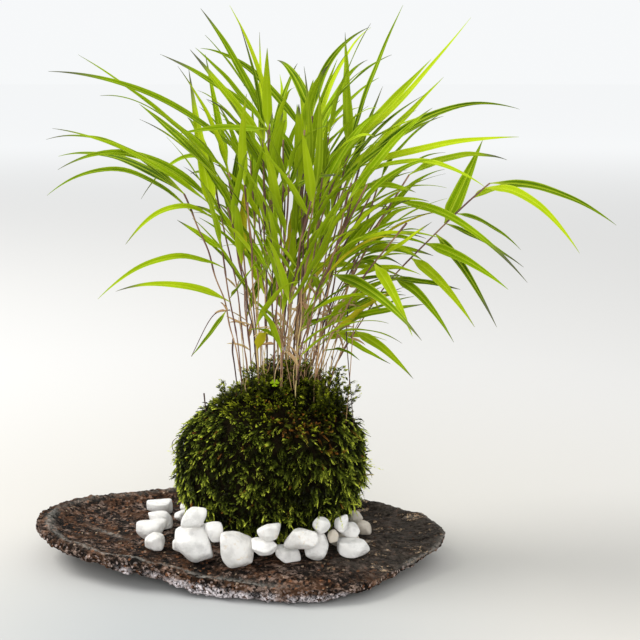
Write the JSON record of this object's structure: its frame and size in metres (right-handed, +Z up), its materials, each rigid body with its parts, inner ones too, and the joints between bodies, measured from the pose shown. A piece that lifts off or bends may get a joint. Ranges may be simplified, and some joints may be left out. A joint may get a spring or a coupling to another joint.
{
  "type": "kokedama moss ball plant",
  "caption": "Moss-wrapped root ball with a clump of arching forest grass, standing on a shallow stone tray among white pebbles.",
  "frame": {"origin": "the point of the tray's flat foot that lies under the middle of the moss ball", "axes": "+Z up out of the ball, +X to the right along the tray's long side, the front towards -Y"},
  "size_m": [0.4144, 0.2148, 0.3932],
  "materials": {
    "tray_stone": "rough matt",
    "white_pebble": "tumbled satin",
    "beige_pebble": "tumbled satin",
    "soil": "crumbly matt",
    "side_moss": "feathery matt",
    "top_moss": "velvety matt",
    "grass": "leaf satin"
  },
  "bodies": {
    "root": {"stone_tray": "tray_stone", "soil_root_ball": "soil", "moss_wrap": "side_moss", "moss_cap": "top_moss", "pebble_01": "white_pebble", "pebble_02": "white_pebble", "pebble_03": "white_pebble", "pebble_04": "white_pebble", "pebble_05": "white_pebble", "pebble_06": "white_pebble", "pebble_07": "white_pebble", "pebble_08": "white_pebble", "pebble_09": "white_pebble", "pebble_10": "white_pebble", "pebble_11": "white_pebble", "pebble_12": "white_pebble", "pebble_13": "beige_pebble", "pebble_14": "white_pebble", "pebble_15": "white_pebble", "pebble_16": "beige_pebble", "pebble_17": "beige_pebble", "pebble_18": "white_pebble", "pebble_19": "white_pebble", "pebble_20": "white_pebble", "pebble_21": "white_pebble", "pebble_22": "white_pebble", "pebble_23": "white_pebble", "pebble_24": "white_pebble", "pebble_25": "beige_pebble", "pebble_26": "white_pebble", "pebble_27": "white_pebble", "pebble_28": "beige_pebble", "pebble_29": "white_pebble", "grass_tuft_01": "grass", "grass_tuft_02": "grass", "grass_tuft_03": "grass", "grass_tuft_04": "grass", "grass_tuft_05": "grass", "grass_tuft_06": "grass", "grass_tuft_07": "grass", "grass_tuft_08": "grass", "grass_tuft_09": "grass", "grass_tuft_10": "grass", "grass_tuft_11": "grass", "grass_tuft_12": "grass", "grass_tuft_13": "grass", "grass_tuft_14": "grass", "grass_tuft_15": "grass", "grass_tuft_16": "grass", "grass_tuft_17": "grass", "grass_tuft_18": "grass", "grass_tuft_19": "grass", "grass_tuft_20": "grass", "grass_tuft_21": "grass", "grass_tuft_22": "grass", "grass_tuft_23": "grass", "grass_tuft_24": "grass", "grass_tuft_25": "grass", "grass_tuft_26": "grass"}
  },
  "joints": []
}
